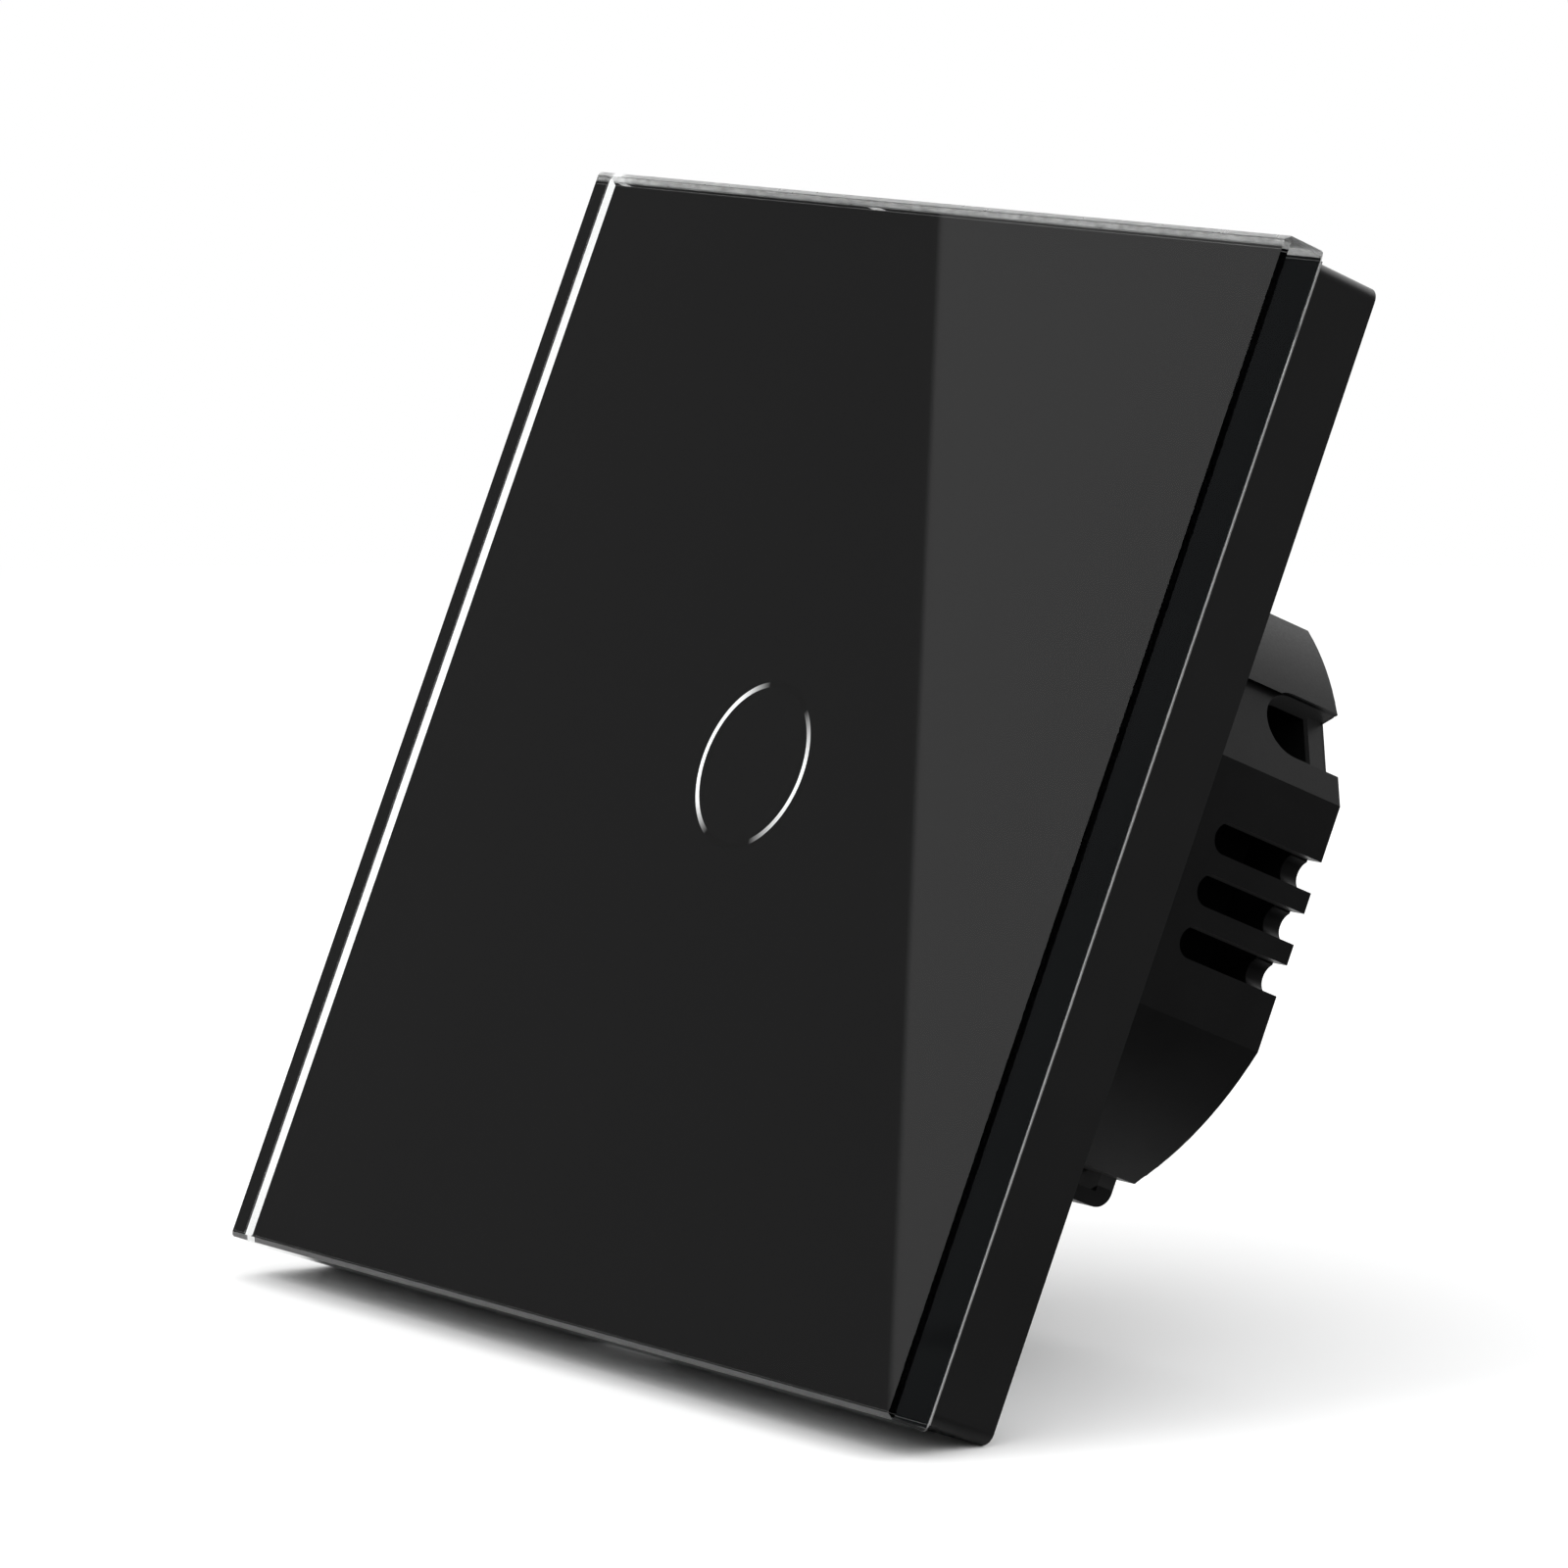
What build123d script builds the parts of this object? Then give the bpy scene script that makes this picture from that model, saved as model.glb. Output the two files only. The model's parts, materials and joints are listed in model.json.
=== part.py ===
from build123d import *
import math
import os

# Touch light switch: a glass panel on a snap frame in front of a steel mounting plate, with the
# switch module behind it. Millimetres. X is right seen from the front, +Y goes into the wall and
# +Z is up. The origin is the middle of the wall plane, where the frame and the plate end.

# Fits
overrun = 1.0
touch_gap = 0.3
fit_gap = 0.05
slip_gap = 0.15

# Glass panel
panel_size = 80.0
glass_thickness = 3.55
glass_front_bevel = 0.32
glass_rear_bevel = 0.55
glass_corner_cut = 0.2

# Black print behind the glass, with the silver ring in it
film_thickness = 0.1
mark_radius = 5.74
mark_width = 0.35
mark_gap = 0.02

# Panel frame
frame_depth = 5.05
frame_corner = 0.9
frame_wall = 1.8
frame_web = 1.6
frame_seat_size = 3.0
frame_seat_inset = 4.65
frame_window_radius = 8.6
pry_notch_width = 8.0
pry_notch_depth = 0.9
tape_inset = 1.4
tape_width = 3.5
tape_thickness = 0.2

# Clip arms of the frame, in pairs above and below the module
clip_width = 7.0
clip_thickness = 1.2
clip_reach = 2.4
clip_bead = 0.25
clip_bead_length = 0.8
clip_spread = 9.0
clip_clear = 2.6

# Mounting plate
plate_clear = 1.15
plate_thickness = 1.2
plate_corner = 5.0
plate_opening = 28.0
plate_opening_corner = 2.0
box_screw_spacing = 60.0
box_slot_radius = 1.9
box_slot_length = 8.0

# Front cover of the module
cover_side_lap = 1.1
cover_end_lap = 1.8
cover_thickness = 1.6
cover_corner = 3.0
cover_rim = 1.2
cover_post_radius = 2.0
cover_post_x = 10.6
cover_post_drop = 1.4
cover_screw_inset = 3.16
cover_screw_angle = 33.3
screw_head_radius = 2.1
screw_head_height = 1.1
screw_radius = 1.2
cover_screw_length = 4.6
slot_width = 0.6
slot_depth = 0.5

# Light ring in front of the lamps
light_outer_radius = 7.2
light_inner_radius = 4.4
light_proud = 0.2
light_flange = 1.0
light_flange_thickness = 0.5

# Touch board and what it carries
touch_board_size = 26.0
touch_board_thickness = 1.0
lamp_count = 4
lamp_circle_radius = 5.8
lamp_length = 1.6
lamp_width = 0.8
lamp_height = 0.8
touch_chip_size = 4.0
touch_chip_height = 1.1
small_chip_count = 5
small_chip_length = 1.6
small_chip_width = 0.8
small_chip_height = 0.5
small_chip_pitch = 2.6
chip_row_z = 10.0
small_screw_radius = 0.95
small_head_radius = 1.7
small_head_height = 0.9
touch_screw_length = 2.2

# Touch spring and its pad
spring_radius = 2.6
spring_wire = 0.5
spring_pitch = 1.05
spring_turns = 2
pad_radius = 3.3
pad_thickness = 0.3

# Header and socket between the boards
pin_count = 4
header_pitch = 2.0
header_z = 9.0
header_depth = 2.2
header_height = 1.2
pin_radius = 0.3
pin_tip_gap = 0.3

# Rear housing
housing_radius = 24.1
housing_side_cut = 1.7
housing_top_cut = 3.8
housing_bottom_cut = 4.65
housing_raise = 1.5
housing_depth = 24.1
housing_wall = 1.6
housing_end = 1.5
housing_edge = 0.2
shoulder_low_drop = 15.45
shoulder_high_drop = 9.5
shoulder_inset = 3.7
pocket_radius = 2.4
pocket_up_share = 0.672
pocket_depth = 1.2
pocket_reach = 6.55
vent_count = 3
vent_radius = 1.1
vent_drop = 0.125
vent_pitch = 3.67
vent_reach = 9.4
vent_bite = 2.2
boss_radius = 2.3
boss_length = 3.8
post_radius = 2.2
eye_width = 4.0
eye_length = 3.4
eye_height = 2.35
eye_slot_height = 1.3
eye_slot_length = 1.6
eye_post = 0.4
eye_corner = 1.3
eye_from_edge = 1.35
eye_from_end = 0.65

# Power board
board_front = 5.0
board_thickness = 1.6
board_clear = 0.4
post_side_gap = 3.8
post_top_z = 8.0
post_low_z = 15.5
power_screw_length = 7.0
lead_radius = 0.35
lead_out = 0.9
lead_hole_gap = 0.1

# Terminal block
terminal_count = 3
terminal_pitch = 8.0
terminal_width = 24.8
terminal_top_gap = 0.4
terminal_height = 12.5
terminal_end_gap = 0.2
terminal_bore_radius = 1.7
wire_hole_radius = 2.0
wire_funnel_radius = 2.8
wire_funnel_depth = 0.7
access_radius = 2.5
busbar_drop = 7.45
busbar_thickness = 0.8
busbar_width = 3.2
cage_width = 6.0
cage_depth = 5.0
cage_side = 0.9
cage_top = 1.4
cage_bottom = 0.9
cage_back = 4.9
cage_travel = 2.4
clamp_screw_radius = 1.5
clamp_head_radius = 2.0
clamp_head_height = 1.7
clamp_well_radius = 2.3
clamp_ceiling = 0.7

# Relay
relay_x = -9.75
relay_z = -2.5
relay_width = 15.4
relay_length = 19.0
relay_top_gap = 0.6
relay_wall = 0.9
relay_base_thickness = 2.0
relay_seat = 0.2
core_z = -3.8
core_radius = 1.8
bobbin_radius = 4.6
bobbin_flange = 0.7
winding_radius = 4.2
core_head = 0.5
yoke_width = 9.6
yoke_thickness = 1.2
armature_thickness = 1.0
armature_angle = 4.0
armature_lip = 1.0
armature_room = 1.5
pivot_gap = 0.1
blade_thickness = 0.3
blade_width = 4.8
blade_foot_gap = 2.0
blade_setback = 1.0
contact_radius = 1.3
contact_height = 0.7
contact_gap = 0.1
contact_post = 1.0

# Other parts on the power board
film_cap_width = 6.0
film_cap_length = 12.4
film_cap_end_gap = 2.7
film_cap_side_gap = 1.3
film_cap_z = 0.3
can_cap_radius = 4.0
can_cap_end_gap = 3.7
can_cap_at = (6.0, -11.0)
varistor_radius = 3.6
varistor_thickness = 3.4
varistor_at = (10.3, 0.4)
fuse_radius = 3.6
fuse_height = 7.5
fuse_at = (3.4, 0.6)
choke_radius = 3.4
choke_core_radius = 1.6
choke_flange = 0.9
choke_height = 8.0
choke_at = (13.7, -10.3)
part_seat = 0.3
rectifier_size = (4.0, 2.5, 4.7)
rectifier_at = (9.5, -5.0)
control_chip_size = (6.0, 1.5, 5.0)
control_chip_at = (-9.7, 3.0)
resistor_radius = 1.1
resistor_length = 5.4
resistor_pitch = 3.2
resistor_at = (-9.7, -9.0)
resistor_count = 3

# Levels along Y that several pieces share
frame_front = -frame_depth
glass_rear = frame_front - film_thickness
glass_front = glass_rear - glass_thickness
web_rear = frame_front + frame_web
plate_front = -plate_thickness
cover_front = plate_front - cover_thickness
touch_front = plate_front + cover_post_drop
touch_rear = touch_front + touch_board_thickness
board_rear = board_front + board_thickness
housing_rear = housing_depth
inner_rear = housing_rear - housing_end

# Plan sizes that several pieces share
frame_size = panel_size - 2 * glass_rear_bevel
frame_inside = frame_size - 2 * frame_wall
plate_size = frame_inside - 2 * plate_clear
housing_half_width = housing_radius - housing_side_cut
housing_top = housing_raise + housing_radius - housing_top_cut
housing_bottom = housing_raise - housing_radius + housing_bottom_cut
housing_middle = (housing_top + housing_bottom) / 2
inner_half_width = housing_half_width - housing_wall
shoulder_low = housing_radius - shoulder_low_drop
shoulder_high = housing_radius - shoulder_high_drop
terminal_top = housing_top - housing_wall - terminal_top_gap
terminal_bottom = terminal_top - terminal_height
film_cap_at = (inner_half_width - film_cap_side_gap - film_cap_width / 2, film_cap_z)
cover_screw_reach = housing_radius - cover_screw_inset
cover_screw_x = cover_screw_reach * math.cos(math.radians(cover_screw_angle))
cover_screw_z = cover_screw_reach * math.sin(math.radians(cover_screw_angle))
screw_places = [(x, housing_raise + z) for x in (-cover_screw_x, cover_screw_x)
                for z in (-cover_screw_z, cover_screw_z)]
post_top_x = inner_half_width - post_side_gap
post_places = [(-post_top_x, housing_raise + post_top_z),
               (post_top_x, housing_raise + post_top_z),
               (0, housing_raise - post_low_z)]


def span(middle, width):
    return (middle - width / 2, middle + width / 2)


def spaced(count, pitch):
    """Evenly spaced places, even about zero."""
    return [pitch * (i - (count - 1) / 2) for i in range(count)]


def block(x, y, z):
    """A box between the given (low, high) pairs."""
    low = Vector(x[0], y[0], z[0])
    high = Vector(x[1], y[1], z[1])
    size = high - low
    return Pos((low + high) / 2) * Box(size.X, size.Y, size.Z)


def rod(radius, y, x=0, z=0):
    """A cylinder along Y."""
    return Pos(x, (y[0] + y[1]) / 2, z) * Rot(X=90) * Cylinder(radius, y[1] - y[0])


def rod_x(radius, x, y, z):
    return Pos((x[0] + x[1]) / 2, y, z) * Rot(Y=90) * Cylinder(radius, x[1] - x[0])


def rod_z(radius, z, x, y):
    return Pos(x, y, (z[0] + z[1]) / 2) * Cylinder(radius, z[1] - z[0])


def slab(outline, y):
    """A sketch drawn in X and Z, made solid between two levels of Y."""
    return extrude(Plane.XZ.offset(-y[1]) * outline, amount=y[1] - y[0])


def square(size, corner):
    return RectangleRounded(size, size, corner)


def both_sides(piece):
    return [piece, mirror(piece, about=Plane.YZ)]


def save(name, *solids):
    """Write one named piece, or a group of alike ones, as a file of its own."""
    pieces = [s for item in solids for s in item.solids()]
    shape = pieces[0] if len(pieces) == 1 else Compound(children=pieces)
    shape.label = name
    export_step(shape, f"parts/{name}.step")


# Panel

def glass_panel():
    plate = slab(Rectangle(panel_size, panel_size), (glass_front, glass_rear))
    glass = chamfer(plate.faces().sort_by(Axis.Y)[0].edges(), glass_front_bevel)
    glass = chamfer(glass.faces().sort_by(Axis.Y)[-1].edges(), glass_rear_bevel)
    return glass & chamfer(plate.edges().filter_by(Axis.Y), glass_corner_cut)


def ring_sketch(middle_radius, width):
    return Circle(middle_radius + width / 2) - Circle(middle_radius - width / 2)


def ink_film():
    slot = ring_sketch(mark_radius, mark_width + 2 * mark_gap)
    return slab(Rectangle(frame_size, frame_size) - slot, (glass_rear, frame_front))


def ring_mark():
    return slab(ring_sketch(mark_radius, mark_width), (glass_rear, frame_front))


def tape_outline():
    outer = frame_size - 2 * tape_inset
    return Rectangle(outer, outer) - Rectangle(outer - 2 * tape_width, outer - 2 * tape_width)


def bond_tape():
    return slab(tape_outline(), (frame_front, frame_front + tape_thickness))


def clip_places():
    """Middle of each clip arm in X and Z, and the way its bead points."""
    high = housing_top + clip_clear + clip_thickness / 2
    low = housing_bottom - clip_clear - clip_thickness / 2
    return [(x, z, way) for x in (-clip_spread, clip_spread)
            for z, way in ((high, 1), (low, -1))]


def clip_arm(x, z, way):
    arm = block(span(x, clip_width), (web_rear, clip_reach), span(z, clip_thickness))
    bead_z = z + way * (clip_thickness + clip_bead) / 2
    bead_y = (clip_reach - clip_bead_length, clip_reach)
    return arm + block(span(x, clip_width), bead_y, span(bead_z, clip_bead))


def panel_frame():
    body = slab(square(frame_size, frame_corner), (frame_front, 0))
    body -= slab(Rectangle(frame_inside, frame_inside), (web_rear, overrun))
    seat_at = frame_inside / 2 - frame_seat_inset
    for x in (-seat_at, seat_at):
        for z in (-seat_at, seat_at):
            seat_y = (web_rear, plate_front - touch_gap)
            body += block(span(x, frame_seat_size), seat_y, span(z, frame_seat_size))
    body -= slab(tape_outline(), (frame_front - overrun, frame_front + tape_thickness))
    body -= rod(frame_window_radius, (frame_front - overrun, 0))
    notch_z = (-frame_size / 2 - overrun, -frame_size / 2 + frame_wall / 2)
    body -= block(span(0, pry_notch_width), (-pry_notch_depth, overrun), notch_z)
    for place in clip_places():
        body += clip_arm(*place)
    return body


# Mounting plate and front cover

def mount_plate():
    plate = slab(square(plate_size, plate_corner), (plate_front, 0))
    through = (plate_front - overrun, overrun)
    plate -= slab(square(plate_opening, plate_opening_corner), through)
    half = box_screw_spacing / 2
    slot = SlotOverall(box_slot_length, 2 * box_slot_radius)
    for side in (-half, half):
        plate -= slab(Pos(side, 0) * slot, through)
        plate -= slab(Pos(0, side) * Rot(Z=90) * slot, through)
    bead_room = clip_bead + touch_gap
    for x, z, _ in clip_places():
        window = clip_thickness + 2 * bead_room
        plate -= block(span(x, clip_width + 2 * touch_gap), through, span(z, window))
    for x, z in screw_places:
        plate -= rod(screw_radius + slip_gap, through, x, z)
    return plate


def screw(x, z, y_head, radius, length, head_radius, head_height):
    """A slotted screw that points along +Y, with its head seated at y_head."""
    body = rod(head_radius, (y_head - head_height, y_head), x, z)
    body += rod(radius, (y_head, y_head + length), x, z)
    slot_y = (y_head - head_height - overrun, y_head - head_height + slot_depth)
    return body - block(span(x, 2 * head_radius + overrun), slot_y, span(z, slot_width))


def front_cover():
    width = 2 * (housing_half_width + cover_side_lap)
    height = housing_top - housing_bottom + 2 * cover_end_lap
    outline = Pos(0, housing_middle) * RectangleRounded(width, height, cover_corner)
    body = slab(outline, (cover_front, plate_front))
    rim = plate_opening - 2 * slip_gap
    rim_inside = Rectangle(rim - 2 * cover_rim, rim - 2 * cover_rim)
    body += slab(square(rim, plate_opening_corner) - rim_inside, (plate_front, 0))
    for x in (-cover_post_x, cover_post_x):
        body += rod(cover_post_radius, (plate_front, touch_front), x)
        body -= rod(small_screw_radius + fit_gap, (plate_front - fit_gap, touch_front + overrun), x)
    through = (cover_front - overrun, plate_front + overrun)
    body -= rod(light_outer_radius + fit_gap, through)
    head_y = (cover_front - overrun, cover_front + screw_head_height)
    for x, z in screw_places:
        body -= rod(screw_radius + slip_gap, through, x, z)
        body -= rod(screw_head_radius + slip_gap, head_y, x, z)
    return body


def cover_screws():
    y_head = cover_front + screw_head_height
    return [screw(x, z, y_head, screw_radius, cover_screw_length, screw_head_radius, screw_head_height)
            for x, z in screw_places]


def light_ring():
    flange_rear = plate_front + light_flange_thickness
    ring = rod(light_outer_radius, (cover_front - light_proud, plate_front))
    ring += rod(light_outer_radius + light_flange, (plate_front, flange_rear))
    through = (cover_front - light_proud - overrun, flange_rear + overrun)
    return ring - rod(light_inner_radius, through)


# Touch board

def touch_board():
    board = slab(Rectangle(touch_board_size, touch_board_size), (touch_front, touch_rear))
    through = (touch_front - overrun, touch_rear + overrun)
    for x in (-cover_post_x, cover_post_x):
        board -= rod(small_screw_radius + slip_gap, through, x)
    for x in header_places():
        board -= rod(pin_radius + fit_gap, through, x, -header_z)
    return board


def touch_screws():
    """Screws from behind the touch board into the posts of the cover."""
    screws = []
    for x in (-cover_post_x, cover_post_x):
        piece = rod(small_screw_radius, (touch_rear - touch_screw_length, touch_rear), x)
        piece += rod(small_head_radius, (touch_rear, touch_rear + small_head_height), x)
        slot_y = (touch_rear + small_head_height - slot_depth, touch_rear + small_head_height + overrun)
        piece -= block(span(x, 2 * small_head_radius + overrun), slot_y, span(0, slot_width))
        screws.append(piece)
    return screws


def status_lamps():
    y = (touch_front - lamp_height, touch_front)
    lamp = block(span(lamp_circle_radius, lamp_width), y, span(0, lamp_length))
    return [Rot(Y=360 * i / lamp_count) * lamp for i in range(lamp_count)]


def touch_chip():
    side = span(0, touch_chip_size)
    return block(side, (touch_rear, touch_rear + touch_chip_height), side)


def small_chips():
    y = (touch_front - small_chip_height, touch_front)
    z = span(chip_row_z, small_chip_length)
    return [block(span(x, small_chip_width), y, z) for x in spaced(small_chip_count, small_chip_pitch)]


# Touch spring: a helix of joined arcs, with straight ends square to the board and to the pad

def round_point(angle, y):
    return Vector(spring_radius * math.cos(angle), y, spring_radius * math.sin(angle))


def helix_point(angle, start_y):
    return round_point(angle, start_y - spring_pitch * angle / (2 * math.pi))


def helix_tangent(angle):
    rise = -spring_pitch / (2 * math.pi)
    return Vector(-spring_radius * math.sin(angle), rise, spring_radius * math.cos(angle)).normalized()


def biarc(p0, t0, p1, t1):
    """Two arcs that join p0 to p1 and share a tangent where they meet."""
    v = p1 - p0
    t = t0 + t1
    bend = 2 * (1 - t0.dot(t1))
    reach = (math.sqrt(v.dot(t) ** 2 + bend * v.dot(v)) - v.dot(t)) / bend
    joint = (p0 + p1 + (t0 - t1) * reach) / 2
    middle = ((p1 - t1 * reach) - (p0 + t0 * reach)).normalized()
    return [Edge.make_tangent_arc(p0, t0, joint), Edge.make_tangent_arc(joint, middle, p1)]


def spring_path():
    """The wire's middle line from the touch board to the pad."""
    forward = Vector(0, -1, 0)
    y_pad = pad_levels()[1]
    end_rise = (touch_front - y_pad - spring_pitch * spring_turns) / 2
    lead_angle = (end_rise - spring_wire) / spring_radius
    start_y = touch_front - end_rise
    end_angle = 2 * math.pi * spring_turns
    quarters = [i * math.pi / 2 for i in range(4 * spring_turns + 1)]
    points = [round_point(-lead_angle, touch_front - spring_wire)]
    points += [helix_point(angle, start_y) for angle in quarters]
    points.append(round_point(end_angle + lead_angle, y_pad + spring_wire))
    tangents = [forward] + [helix_tangent(angle) for angle in quarters] + [forward]
    edges = [Edge.make_line(round_point(-lead_angle, touch_front), points[0])]
    for i in range(len(points) - 1):
        edges += biarc(points[i], tangents[i], points[i + 1], tangents[i + 1])
    edges.append(Edge.make_line(points[-1], round_point(end_angle + lead_angle, y_pad)))
    return Wire(edges)


def touch_spring():
    path = spring_path()
    section = Plane(origin=path @ 0, z_dir=path % 0) * Circle(spring_wire / 2)
    return sweep(section, path=path)


def print_spring_gap():
    """Least gap between stretches of the wire that lie over half a turn apart."""
    path = spring_path()
    points_per_turn = 60
    count = points_per_turn * spring_turns
    half_turn = math.pi * spring_radius
    points = [(path.length * i / count, path @ (i / count)) for i in range(count + 1)]
    gaps = [(p - q).length for a, p in points for b, q in points if b - a > half_turn]
    print("spring: least gap between turns", round(min(gaps) - spring_wire, 3), "mm")


def pad_levels():
    front = frame_front + touch_gap
    return (front, front + pad_thickness)


def touch_pad():
    return rod(pad_radius, pad_levels())


# Header and socket

def header_places():
    return spaced(pin_count, header_pitch)


def header_base():
    rear = touch_rear + header_height
    base = block(span(0, pin_count * header_pitch), (touch_rear, rear), span(-header_z, header_depth))
    for x in header_places():
        base -= rod(pin_radius + fit_gap, (touch_rear - overrun, rear + overrun), x, -header_z)
    return base


def header_pins():
    y = (touch_front, board_front - pin_tip_gap)
    return [rod(pin_radius, y, x, -header_z) for x in header_places()]


def board_socket():
    low = touch_rear + header_height
    socket = block(span(0, pin_count * header_pitch), (low, board_front), span(-header_z, header_depth))
    for x in header_places():
        socket -= rod(pin_radius + fit_gap, (low - overrun, board_front - pin_tip_gap / 2), x, -header_z)
    return socket


# Rear housing

def shoulder_cut(inset):
    """The corner that the sloped shoulder takes off, drawn in X and Z on the right."""
    low = Vector(housing_half_width, housing_raise + shoulder_low)
    high = Vector(housing_half_width - shoulder_inset, housing_raise + shoulder_high)
    along = (high - low).normalized()
    inward = Vector(-along.Y, along.X) * inset
    start = low + inward - along * housing_wall
    end = high + inward + along * inset
    far = housing_radius + overrun
    return make_face(Polyline((start.X, start.Y), (end.X, end.Y), (far, end.Y), (far, start.Y), close=True))


def housing_outline(inset):
    """The plan of the housing, drawn in by the same distance all round."""
    outline = Pos(0, housing_raise) * Circle(housing_radius - inset)
    flats = Rectangle(2 * (housing_half_width - inset), housing_top - housing_bottom - 2 * inset)
    outline &= Pos(0, housing_middle) * flats
    corner = shoulder_cut(inset)
    return outline - corner - mirror(corner, about=Plane.YZ)


def shoulder_plane(y):
    """A plane on the right shoulder: local X runs up the slope, local Y into the wall."""
    low = Vector(housing_half_width, y, housing_raise + shoulder_low)
    high = Vector(housing_half_width - shoulder_inset, y, housing_raise + shoulder_high)
    along = (high - low).normalized()
    middle = low + (high - low) * pocket_up_share
    return Plane(origin=middle, x_dir=along, z_dir=along.cross(Vector(0, 1, 0)))


def pocket_tool(y_end, depth):
    """A round-ended slot across the shoulder that runs from its front end to y_end."""
    front = housing_rear - pocket_reach + pocket_radius
    plane = shoulder_plane(front)
    outline = Circle(pocket_radius)
    outline += Pos(0, (y_end - front) / 2) * Rectangle(2 * pocket_radius, y_end - front)
    tool = extrude(plane * outline, amount=depth)
    return tool + extrude(plane * outline, amount=-overrun)


def vent_levels():
    return [housing_raise - vent_drop + z for z in spaced(vent_count, vent_pitch)]


def vent_tool(z):
    """One vent slot through the right wall, round at its front end and where it bites the rear wall."""
    side_x = (inner_half_width - fit_gap, housing_half_width + overrun)
    round_y = housing_rear - vent_reach + vent_radius
    tool = rod_x(vent_radius, side_x, round_y, z)
    tool += block(side_x, (round_y, housing_rear + overrun), span(z, 2 * vent_radius))
    bite_x = housing_half_width - vent_bite + vent_radius
    end_y = (inner_rear - fit_gap, housing_rear + overrun)
    tool += rod(vent_radius, end_y, bite_x, z)
    return tool + block((bite_x, side_x[1]), end_y, span(z, 2 * vent_radius))


def tie_eye():
    """A small lug with a slot for a cable tie, under the rear right corner of the housing."""
    corner_x = math.sqrt(housing_radius ** 2 - (housing_raise - housing_bottom) ** 2)
    x = (corner_x - eye_from_edge - eye_width, corner_x - eye_from_edge)
    y = (housing_rear - eye_from_end - eye_length, housing_rear - eye_from_end)
    lug = block(x, y, (housing_bottom - eye_height, housing_bottom + housing_wall / 2))
    rear_low = lug.edges().filter_by(Axis.X).sort_by(Axis.Z)[:2].sort_by(Axis.Y)[-1]
    lug = fillet(rear_low, eye_corner)
    slot_x = (x[0] - overrun, x[1] + overrun)
    slot_y = (y[0] + eye_post, y[0] + eye_post + eye_slot_length)
    return lug - block(slot_x, slot_y, (housing_bottom - eye_slot_height, housing_bottom))


def rear_housing():
    shell = slab(housing_outline(0), (0, housing_rear))
    shell = fillet(shell.faces().sort_by(Axis.Y)[-1].edges(), housing_edge)
    shell -= slab(housing_outline(housing_wall), (-overrun, inner_rear))
    inside = slab(housing_outline(housing_wall / 2), (0, inner_rear))
    for x, z in screw_places:
        shell += rod(boss_radius, (0, boss_length), x, z) & inside
    for x, z in post_places:
        shell += rod(post_radius, (board_rear, inner_rear + fit_gap), x, z)
    for x, z in screw_places:
        shell -= rod(screw_radius + fit_gap, (-overrun, boss_length + overrun), x, z)
    post_bore_y = (board_rear - overrun, board_rear + power_screw_length)
    for x, z in post_places:
        shell -= rod(small_screw_radius + fit_gap, post_bore_y, x, z)
    for lug in both_sides(tie_eye()):
        shell += lug
    tools = [vent_tool(z) for z in vent_levels()]
    tools.append(pocket_tool(housing_rear + overrun, pocket_depth))
    tools.append(pocket_tool(inner_rear, housing_wall + overrun))
    for tool in tools:
        for cut in both_sides(tool):
            shell -= cut
    funnel = Rot(X=-90) * Cone(wire_hole_radius, wire_funnel_radius, wire_funnel_depth)
    access_z = (housing_top - housing_wall - overrun, housing_top + overrun)
    for x in terminal_places():
        shell -= rod(wire_hole_radius, (inner_rear - overrun, housing_rear + overrun), x, wire_level())
        shell -= Pos(x, housing_rear - wire_funnel_depth / 2, wire_level()) * funnel
        shell -= rod_z(access_radius, access_z, x, cage_y())
    return shell


# Terminal block

def terminal_places():
    return spaced(terminal_count, terminal_pitch)


def cage_y():
    return inner_rear - cage_back


def busbar_top():
    return terminal_top - busbar_drop + busbar_thickness / 2


def cage_levels():
    """Bottom, inner bottom, inner top and top of a cage at rest, when its terminal is open."""
    inner_top = busbar_top() + touch_gap
    inner_bottom = busbar_top() - busbar_thickness - touch_gap - cage_travel
    return (inner_bottom - cage_bottom, inner_bottom, inner_top, inner_top + cage_top)


def ceiling_level():
    return cage_levels()[3] + cage_travel + touch_gap


def wire_level():
    low = cage_levels()[1]
    high = busbar_top() - busbar_thickness
    return (low + high) / 2


def terminal_body():
    body_y = (board_rear, inner_rear - terminal_end_gap)
    body = block(span(0, terminal_width), body_y, (terminal_bottom, terminal_top))
    over_top = terminal_top + overrun
    cell_y = span(cage_y(), cage_depth + 2 * touch_gap)
    cell_z = (cage_levels()[0] - touch_gap, ceiling_level())
    bar_y = (board_rear - overrun, cell_y[0] + overrun)
    bar_z = (busbar_top() - busbar_thickness - fit_gap, busbar_top() + fit_gap)
    for x in terminal_places():
        body -= block(span(x, cage_width + 2 * touch_gap), cell_y, cell_z)
        body -= rod_z(clamp_screw_radius + fit_gap, (cell_z[1] - overrun, over_top), x, cage_y())
        body -= rod_z(clamp_well_radius, (ceiling_level() + clamp_ceiling, over_top), x, cage_y())
        body -= rod(terminal_bore_radius, (cell_y[1] - overrun, inner_rear + overrun), x, wire_level())
        body -= block(span(x, busbar_width + 2 * fit_gap), bar_y, bar_z)
    return body


def busbars():
    z = (busbar_top() - busbar_thickness, busbar_top())
    y = (board_front - lead_out, cage_y() + cage_depth / 2)
    return [block(span(x, busbar_width), y, z) for x in terminal_places()]


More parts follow.
